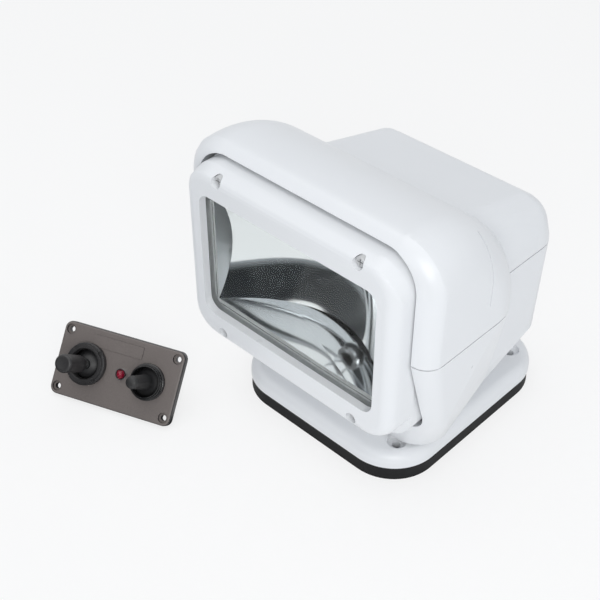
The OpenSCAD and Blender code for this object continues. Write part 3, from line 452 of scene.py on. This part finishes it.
def base_plate():
    half_w, half_d = BASE_W / 2, BASE_D / 2
    plate = slab("base_plate_moulding", (-half_w, -half_d, GASKET_T), (half_w, half_d, PLATE_TOP),
                 BASE_CORNER, 2, 20)
    choose(plate, "EDGE", lambda a, b: a.z > PLATE_TOP - 0.1 and b.z > PLATE_TOP - 0.1)
    bpy.ops.mesh.bevel(offset=PLATE_ROUND * MM, segments=8, affect="EDGES")
    tools = [rod("spindle_seat", SPINDLE_R, (0, 0, 0), (0, 0, 40))]
    for x in (-BOLT_X, BOLT_X):
        for y in (-BOLT_Y, BOLT_Y):
            tools.append(rod("hole", BOLT_HOLE, (x, y, 0), (x, y, 40)))
            tools.append(rod("recess", BOLT_RECESS, (x, y, PLATE_TOP - 3), (x, y, 40)))
    cut(plate, *tools)
    ease(plate, 0.6, 3, 50)
    smooth(plate, 40)
    dress(plate, "base", "white_moulding", "base_plate")


# Turret and lamp head


def hood_drum(inset):
    """The hood's rounded drum about the tilt axis, made smaller by an inset."""
    corner, flat = HOOD_CORNER - inset, HOOD_R - HOOD_CORNER
    end = HOOD_HALF_W - HOOD_CORNER
    side = [(flat + corner * math.sin(math.radians(a)), end + corner * math.cos(math.radians(a)))
            for a in range(0, 91, 6)]
    other_side = [(r, -x) for r, x in reversed(side)]
    drum = turned("drum", [(1, end + corner)] + side + other_side + [(1, -end - corner)], 96)
    drum.rotation_euler = (0, math.radians(90), 0)
    drum.location = (0, TILT_Y * MM, TILT_Z * MM)
    apply_place(drum)
    return drum


def groove_hood(shell):
    """Thin groove down each side of the hood, where its drum meets the rear part."""
    low, high = GROOVE_Z
    ring = slab("groove", (-HOOD_HALF_W - 2, GROOVE_Y - GROOVE_W / 2, low),
                (HOOD_HALF_W + 2, GROOVE_Y + GROOVE_W / 2, high))
    cut(ring, hood_drum(GROOVE_DEPTH))
    cut(shell, ring)


def shells():
    for node in ("lower_shell", "upper_shell"):
        shell = cleaned_copy(node, node + "_moulding")
        if node == "upper_shell":
            groove_hood(shell)
        smooth(shell, 32)
        dress(shell, "turret", "white_moulding", node)


def lamp_mouldings():
    for node in ("lamp_housing", "bezel"):
        piece = cleaned_copy(node, node + "_moulding")
        smooth(piece, 32)
        dress(piece, "lamp", "white_moulding", node)


def bezel_screws():
    head_y, head_r, head_t = FACE_Y + 5.5, 3.2, 2.4
    slot_y, slot_half_l, slot_half_w = head_y - 1.2, 2.0, 0.4
    shank_r = 1.5
    head = rod("bezel_screw_heads", head_r, (0, head_y, 0), (0, head_y - head_t, 0), 32)
    choose(head, "FACE", lambda c, n: n.y < -0.9)
    bpy.ops.mesh.inset(thickness=0.7 * MM)
    bpy.ops.transform.translate(value=(0, -0.5 * MM, 0))
    bpy.ops.mesh.inset(thickness=0.6 * MM)
    for x, z in ((slot_half_l, slot_half_w), (slot_half_w, slot_half_l)):
        cut(head, slab("slot", (-x, head_y - 5, -z), (x, slot_y, z)))
    shank = rod("shank", shank_r, (0, head_y - 0.2, 0), (0, TILT_Y - 2, 0), 16)
    screw = join("bezel_screw_heads", [head, shank])
    ease(screw, 0.12, 2, 50)
    copies = []
    for x in (-BEZEL_SCREW_X, BEZEL_SCREW_X):
        for z in BEZEL_SCREW_Z:
            copies.append(copy_at(screw, "screw_copy", (x, 0, z)))
    bpy.data.objects.remove(screw)
    made = join("bezel_screw_heads", copies)
    smooth(made)
    dress(made, "lamp", "steel", "bezel_screws", finish="dull_screw")
    # Black on the floors of the cross slots: painted shade in the slots of the steel heads
    second_finish(made, "black_plastic", lambda c, n: n.y < -0.9 and abs(c.y - slot_y) < 0.05)


def lens():
    half_w, half_h = WINDOW_W / 2 + LENS_LAP, WINDOW_H / 2 + LENS_LAP
    glass = slab("lens_plate", (-half_w, LENS_FRONT + 0.05, WINDOW_Z - half_h),
                 (half_w, LENS_BACK - 0.05, WINDOW_Z + half_h), WINDOW_CORNER + 2, 1, 8)
    choose(glass, "FACE", lambda c, n: n.y > 0.9)
    step_depth, step_slope = 0.9, 0.6
    for step in (LENS_LAP + 2.2, 1.2):
        bpy.ops.mesh.inset(thickness=step * MM)
        bpy.ops.transform.translate(value=(0, -step_depth * MM, 0))
        bpy.ops.mesh.inset(thickness=step_slope * MM)
    ease(glass, 0.1, 2, 20)
    smooth(glass, 25)
    choose(glass, "FACE", lambda c, n: abs(n.y) > 0.99 and abs(c.x) < 1 and abs(c.z - WINDOW_Z) < 1)
    bpy.ops.mesh.poke()
    fresh()
    dress(glass, "lamp", "lens_glass", "lens")


def reflector():
    """Deep bowl on a parabola, cut square by flat walls, with a flat rim."""
    fresh()
    bpy.ops.mesh.primitive_grid_add(x_subdivisions=96, y_subdivisions=56, size=1)
    bowl = bpy.context.object
    bowl.name = "reflector_bowl"
    bowl.scale = (BOWL_W * MM, BOWL_H * MM, 1)
    bowl.rotation_euler = (math.radians(90), 0, 0)
    apply_place(bowl)
    for vertex in bowl.data.vertices:
        x, _, z = vertex.co / MM
        depth = (x * x + z * z) / (4 * BOWL_FOCUS)
        vertex.co = Vector((x, TILT_Y + BOWL_FOCUS - depth, z + WINDOW_Z)) * MM
    half_w, half_h = BOWL_W / 2 - 0.01, BOWL_H / 2 - 0.01

    def on_edge(p):
        return abs(p.x) > half_w or abs(p.z - WINDOW_Z) > half_h

    choose(bowl, "EDGE", lambda a, b: on_edge(a) and on_edge(b)
           and (abs(a.x - b.x) < 0.01 or abs(a.z - b.z) < 0.01))
    bpy.ops.mesh.extrude_region_move(TRANSFORM_OT_translate={"value": (0, -0.001, 0)})
    bpy.ops.transform.resize(value=(1, 0, 1), center_override=(0, (RIM_BACK - 1.5) * MM, WINDOW_Z * MM))
    bpy.ops.mesh.extrude_region_move()
    share_x = (WINDOW_W + 2 * BOWL_RIM) / BOWL_W
    share_z = (WINDOW_H + 2 * BOWL_RIM) / BOWL_H
    bpy.ops.transform.resize(value=(share_x, 1, share_z), center_override=(0, 0, WINDOW_Z * MM))
    bpy.ops.mesh.select_all(action="SELECT")
    bpy.ops.mesh.normals_make_consistent(inside=True)
    fresh()
    modify(bowl, "SOLIDIFY", thickness=BOWL_WALL * MM, offset=1)
    bowl_back = TILT_Y + BOWL_FOCUS
    cut(bowl, rod("bulb_hole", BULB_HOLE_R, (0, bowl_back - 4, WINDOW_Z), (0, bowl_back + 9, WINDOW_Z)))
    smooth(bowl, 30)
    dress(bowl, "lamp", "reflector_metal", "reflector")
    second_finish(bowl, "reflector_satin", lambda c, n: abs(n.x) > 0.9 and abs(c.x) > half_w - 0.5)
    # The flat rim gets a pale grey: painted reflection in place of the bright chrome step
    second_finish(bowl, "rim_painted_reflection", lambda c, n: n.y < -0.95 and on_edge(c))


# Control panel

PANEL = (Matrix.Translation((PANEL_PLACE[0] * MM, PANEL_PLACE[1] * MM,
                             PANEL_T * math.sin(math.radians(PANEL_LEAN)) * MM))
         @ Matrix.Rotation(math.radians(PANEL_TURN), 4, "Z")
         @ Matrix.Rotation(math.radians(-PANEL_LEAN), 4, "X"))


def stand_on_panel(obj, x):
    """Turns a piece drawn up along Z so that it stands out of the panel's face at a place along it."""
    out = Matrix.Rotation(math.radians(90), 4, "X")
    obj.matrix_world = PANEL @ Matrix.Translation((x * MM, 0, PANEL_H / 2 * MM)) @ out
    apply_place(obj)


def panel_plate():
    half_w, half_h = PANEL_W / 2, PANEL_H / 2
    plate = slab("panel_plate_moulding", (-half_w, -half_h, -PANEL_T), (half_w, half_h, 0),
                 PANEL_CORNER, 2, 8)
    choose(plate, "EDGE", lambda a, b: a.z > -0.1 and b.z > -0.1)
    bpy.ops.mesh.bevel(offset=PANEL_ROUND * MM, segments=4, affect="EDGES")
    tools = [rod("cup_hole", CUP_HOLE_R, (JOYSTICK_X, 0, -9), (JOYSTICK_X, 0, 9)),
             rod("switch_hole", SWITCH_HOLE_R, (TOGGLE_X, 0, -9), (TOGGLE_X, 0, 9)),
             rod("lamp_hole", LED_HOLE_R, (LED_X, 0, -9), (LED_X, 0, 9), 24)]
    for x in (-PANEL_BOLT_X, PANEL_BOLT_X):
        for y in (-PANEL_BOLT_Z, PANEL_BOLT_Z):
            tools.append(rod("hole", PANEL_BOLT_R, (x, y, -9), (x, y, 9), 24))
            tools.append(rod("recess", PANEL_RECESS_R, (x, y, -1.6), (x, y, 9), 32))
    cut(plate, *tools)
    name_plate = slab("name_plate", NAME_PLATE_LOW, NAME_PLATE_HIGH, 0.4, 2, 2)
    plate = join("panel_plate_moulding", [plate, name_plate])
    ease(plate, 0.25, 2, 50)
    smooth(plate, 40)
    stand_on_panel(plate, 0)
    dress(plate, "base", "panel_face", "panel_plate")
    normal = PANEL.to_3x3() @ Vector((0, -1, 0))
    second_finish(plate, "black_plastic", lambda c, n: n.dot(normal) < 0.8)


def joystick():
    collar = turned("joystick_collar_ring", [
        (9.6, 0), (14, 0), (14, 3.4), (13.6, 3.9), (12.5, 3.9), (12.5, 5), (10.4, 5), (9.9, 4.4),
        (9.6, 3.6), (9.6, 0)])
    notches = []
    for angle in (45, 135, 225, 315):
        notch = slab("notch", (12, -1.2, 3), (16, 1.2, 6))
        notch.rotation_euler = (0, 0, math.radians(angle))
        apply_place(notch)
        notches.append(notch)
    cut(collar, *notches)
    ease(collar, 0.2, 2, 50)
    smooth(collar)
    stand_on_panel(collar, JOYSTICK_X)
    dress(collar, "base", "black_plastic", "joystick_collar")

    pivot, radius = -9, 12
    dome = [(radius * math.sin(math.radians(a)), pivot + radius * math.cos(math.radians(a)))
            for a in range(62, 12, -5)]
    boot = turned("joystick_boot_rubber", dome + [(3.4, 3.4), (3.4, 4.6), (2.5, 4.6), (2.5, 2.0)],
                  closed=False)
    modify(boot, "SOLIDIFY", thickness=0.8 * MM, offset=-1)
    smooth(boot, 50)
    stand_on_panel(boot, JOYSTICK_X)
    dress(boot, "joystick", "black_rubber", "joystick_boot")

    knob = turned("joystick_knob_grip", [
        (2.5, 12), (2.5, 8.6), (3.6, 8.6), (4.6, 9.8), (5.4, 11.9), (5.6, 12.9), (5.8, 20), (6, 31.2),
        (5.7, 32.2), (5.0, 32.8), (4.2, 33), (3.6, 32.8), (0, 32.8)])
    smooth(knob, 50)
    stand_on_panel(knob, JOYSTICK_X)
    dress(knob, "joystick", "black_plastic", "joystick_knob")


def toggle():
    ring = turned("toggle_ring_nut", [
        (9.7, 0), (12, 0), (12, 2.0), (11.6, 2.4), (11.2, 2.5), (11.2, 4.1), (10.8, 4.5), (10.4, 4.5),
        (10.4, 5.7), (10.1, 6), (9.9, 6), (9.7, 5.8), (9.7, 0)])
    inner, outer, low, high = 4.2, 11.3, -4.9, -4.4
    washer = turned("washer", [(inner, low), (outer, low), (outer, high), (inner, high), (inner, low)])
    ring = join("toggle_ring_nut", [ring, washer])
    smooth(ring)
    stand_on_panel(ring, TOGGLE_X)
    dress(ring, "base", "gloss_black", "toggle_ring")

    pivot, radius = -7, 11.6
    dome = [(radius * math.sin(math.radians(a)), pivot + radius * math.cos(math.radians(a)))
            for a in range(62, 28, -6)]
    boot = turned("toggle_boot_rubber", dome + [
        (5.2, 4.2), (5.0, 6), (4.6, 12), (4.3, 18), (4.1, 22), (4.3, 22.6), (3.9, 23.4), (4.1, 24.2),
        (3.4, 25.4), (2.4, 26), (0, 26)], closed=False)
    modify(boot, "SOLIDIFY", thickness=0.8 * MM, offset=-1)
    smooth(boot, 50)
    stand_on_panel(boot, TOGGLE_X)
    dress(boot, "toggle", "black_rubber", "toggle_boot")


def indicator():
    bezel = turned("led_bezel_ring", [
        (2.4, -8), (3, -8), (3, 0), (4.2, 0), (4.1, 0.6), (3.6, 2), (3.0, 2.0), (2.4, 1.2), (2.4, -8)], 32)
    smooth(bezel)
    stand_on_panel(bezel, LED_X)
    dress(bezel, "base", "chrome", "led_bezel")
    radius, dome_foot = 2.4, 2
    dome = [(radius * math.cos(math.radians(a)), dome_foot + radius * math.sin(math.radians(a)))
            for a in range(0, 90, 15)]
    lamp = turned("led_lens_dome", [(radius, -7)] + dome + [(0, dome_foot + radius)], 32)
    smooth(lamp, 50)
    stand_on_panel(lamp, LED_X)
    dress(lamp, "base", "indicator_red", "led_lens")


# Everything else keeps its own shape and gets its finish


def finish_the_rest():
    slots = {row["node"]: row["material_slot"] for row in frame["record"]["subparts"]}
    for name, obj in frame["nodes"].items():
        if not obj.hide_render:
            obj.data.materials.clear()
            obj.data.materials.append(FINISH["seal_grey" if name == "lens_seal" else slots[name]])


# Studio


def white_view(nodes):
    """1 where a ray shows the background itself, straight or by way of metal or glass."""
    path = "ShaderNodeLightPath"
    seen = nodes.add(path, output="Is Camera Ray").most(nodes.add(path, output="Is Glossy Ray"))
    return seen.most(nodes.add(path, output="Is Transmission Ray"))


def studio():
    world = bpy.data.worlds.new("studio")
    bpy.context.scene.world = world
    world.use_nodes = True
    sky = Nodes(world.node_tree)
    back = world.node_tree.nodes["Background"]
    sky.feed(back.inputs["Color"], sky.mix(white_view(sky), rgb(0.86, 0.90, 0.95), rgb(1, 1, 1)))
    sky_level = 0.56
    sky.feed(back.inputs["Strength"], sky_level + (1 - sky_level) * white_view(sky))

    fresh()
    bpy.ops.mesh.primitive_plane_add(size=40, location=(0, 0, -0.0002))
    floor = bpy.context.object
    floor.name = "studio_floor"
    bpy.ops.object.mode_set(mode="EDIT")
    bpy.ops.mesh.subdivide(number_cuts=3)
    fresh()
    floor_glow = 0.75
    pale = Finish("floor_pale")
    pale.set("Base Color", pale.mix(pale.noise(3, 2), rgb(0.90, 0.90, 0.90), rgb(0.92, 0.92, 0.92)))
    pale.set("Roughness", 0.9)
    glow = pale.add("ShaderNodeEmission", None, {"Color": rgb(1, 1, 1), "Strength": 1.0})
    mixed = pale.add("ShaderNodeMixShader", None, {0: floor_glow * white_view(pale), 2: glow})
    pale.tree.links.new(pale.shader.outputs[0], mixed.socket.node.inputs[1])
    pale.tree.links.new(mixed.socket, pale.tree.nodes["Material Output"].inputs["Surface"])
    floor.data.materials.append(pale.material)

    dark_surroundings()
    for name, place, size, power in (
            ("soft_top", (-0.25, -0.15, 1.5), 1.2, 5.5),
            ("soft_right", (0.85, -0.85, 0.72), 0.7, 7)):
        bpy.ops.object.light_add(type="AREA", location=place)
        lamp = bpy.context.object
        lamp.name = name
        lamp.data.size = size
        lamp.data.energy = power
        aim = Vector((0, -0.03, 0.1)) - Vector(place)
        lamp.rotation_mode = "QUATERNION"
        lamp.rotation_quaternion = aim.to_track_quat("-Z", "Y")


def mirrored_only(obj, material):
    """Stage piece that only metal and glass show."""
    obj.data.materials.append(material)
    obj.visible_camera = False
    obj.visible_diffuse = False
    obj.visible_shadow = False


def room_dark(name, fade_height):
    """Dim room colour, paler near the floor up to a height in metres."""
    finish = Finish(name, Roughness=0.9)
    tone = finish.mix(finish.noise(4, 2), rgb(0.016, 0.018, 0.020), rgb(0.030, 0.033, 0.036))
    if fade_height:
        height = finish.add("ShaderNodeSeparateXYZ", None, {"Vector": finish.place()}, "Z")
        tone = finish.mix(1 - height * (1 / fade_height), tone, rgb(0.42, 0.43, 0.44))
    finish.set("Base Color", tone)
    return finish.material


def dark_surroundings():
    """The dim room that the reflector faces: a low curved screen in front, and a mat at its left."""
    dark, fading = room_dark("room_dark", 0), room_dark("room_dark_fading", 0.045)
    centre, radius, height, half_angle = Vector((0, -60, 0)), 370, 212, math.radians(66)
    fresh()
    bpy.ops.mesh.primitive_circle_add(vertices=120, radius=radius * MM, location=centre * MM)
    screen = bpy.context.object
    screen.name = "studio_dark_screen"
    apply_place(screen)
    behind = centre.y - radius * math.cos(half_angle)
    choose(screen, "VERT", lambda p: p.y > behind)
    bpy.ops.mesh.delete(type="VERT")
    bpy.ops.mesh.select_all(action="SELECT")
    bpy.ops.mesh.extrude_region_move(TRANSFORM_OT_translate={"value": (0, 0, height * MM)})
    fresh()
    mirrored_only(screen, fading)

    mat_right, mat_left, mat_front, mat_rear, mat_lean = -62, -300, -330, -125, 0.56
    bpy.ops.mesh.primitive_plane_add(size=1)
    mat = bpy.context.object
    mat.name = "studio_dark_mat"
    mat.scale = ((mat_right - mat_left) * MM, (mat_rear - mat_front) * MM, 1)
    mat.location = ((mat_right + mat_left) / 2 * MM, (mat_rear + mat_front) / 2 * MM, 1 * MM)
    apply_place(mat)
    choose(mat, "VERT", lambda p: p.x > mat_right - 1 and p.y < mat_front + 1)
    bpy.ops.transform.translate(value=(mat_lean * (mat_front - mat_rear) * MM, 0, 0))
    fresh()
    mirrored_only(mat, dark)


def camera():
    azimuth, elevation = math.radians(44.06), math.radians(39.51)
    back = Vector((math.sin(azimuth) * math.cos(elevation), -math.cos(azimuth) * math.cos(elevation),
                   math.sin(elevation)))
    bpy.ops.object.camera_add(location=(0.34504, -0.44320, 0.52632))
    view = bpy.context.object
    view.name = "photo_camera"
    view.rotation_mode = "QUATERNION"
    view.rotation_quaternion = (-back).to_track_quat("-Z", "Y")
    view.data.sensor_width = 36
    view.data.lens = 68.36
    view.data.clip_start = 0.01
    bpy.context.scene.camera = view


base_gasket()
base_plate()
shells()
lamp_mouldings()
bezel_screws()
lens()
reflector()
panel_plate()
joystick()
toggle()
indicator()
finish_the_rest()
studio()
camera()
bpy.context.scene.view_settings.view_transform = "Standard"
